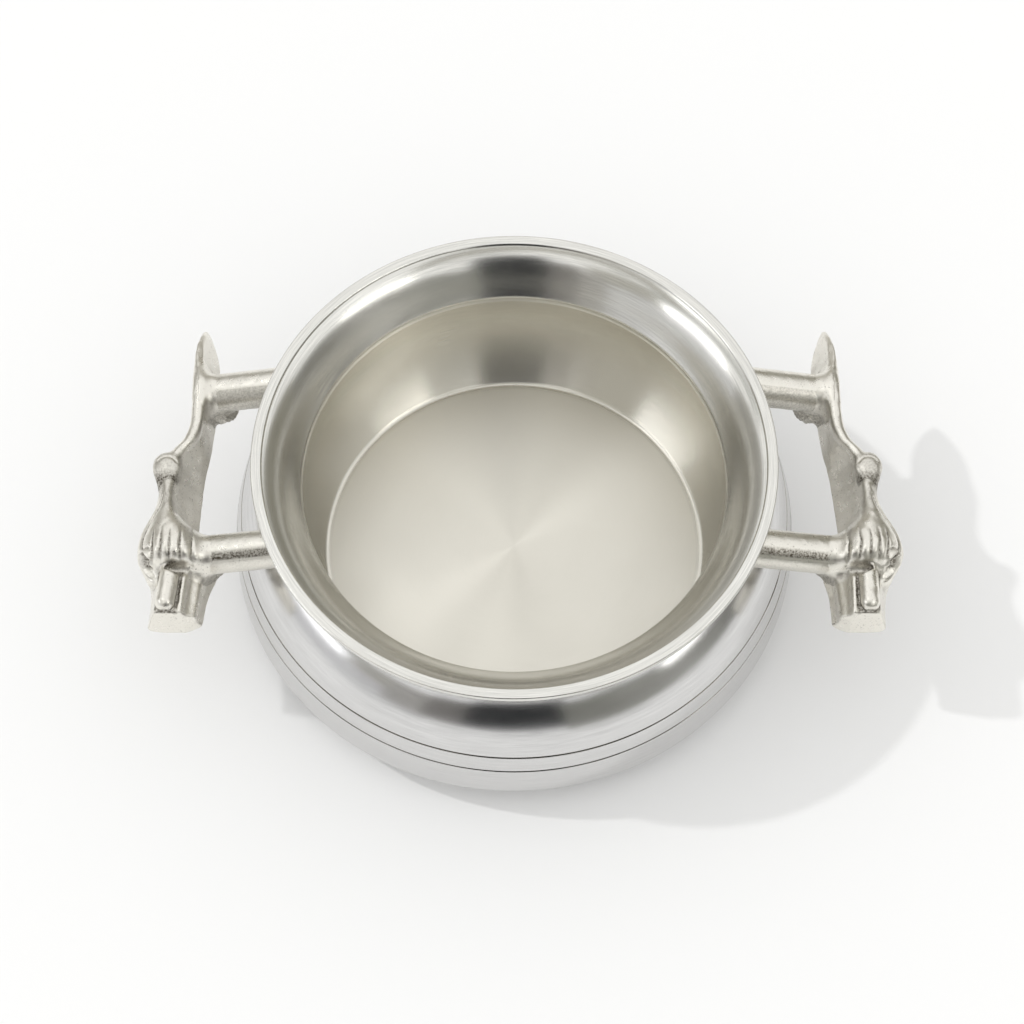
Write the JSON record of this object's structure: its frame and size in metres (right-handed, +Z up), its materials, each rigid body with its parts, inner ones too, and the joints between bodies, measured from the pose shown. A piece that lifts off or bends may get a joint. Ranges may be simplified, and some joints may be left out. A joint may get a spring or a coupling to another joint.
{
  "type": "serving pot",
  "caption": "Open round serving pot: a flattened thick-walled belly, a flared collar with a flat lip, and cast animal-head grips carried on round posts at both sides.",
  "frame": {"origin": "centre of the base, on the surface that the pot stands on", "axes": "+Z up along the pot's axis, +X across the two handles towards the right-hand one, the animal heads look along -Y"},
  "size_m": [0.2892, 0.221, 0.077],
  "materials": {
    "bowl_metal": "satin, brushed round the axis inside and out",
    "collar_metal": "bright turned funnel with a satin flat lip",
    "handle_metal": "nickel-plated cast metal, polished high places and dark pitted recesses",
    "braze_metal": "rough braze under the plating, pitted"
  },
  "bodies": {
    "root": {"bowl_shell": "bowl_metal", "neck_collar": "collar_metal", "left_handle_casting": "handle_metal", "right_handle_casting": "handle_metal", "left_front_post": "handle_metal", "left_rear_post": "handle_metal", "right_front_post": "handle_metal", "right_rear_post": "handle_metal", "left_front_braze": "braze_metal", "left_rear_braze": "braze_metal", "right_front_braze": "braze_metal", "right_rear_braze": "braze_metal"}
  },
  "joints": []
}
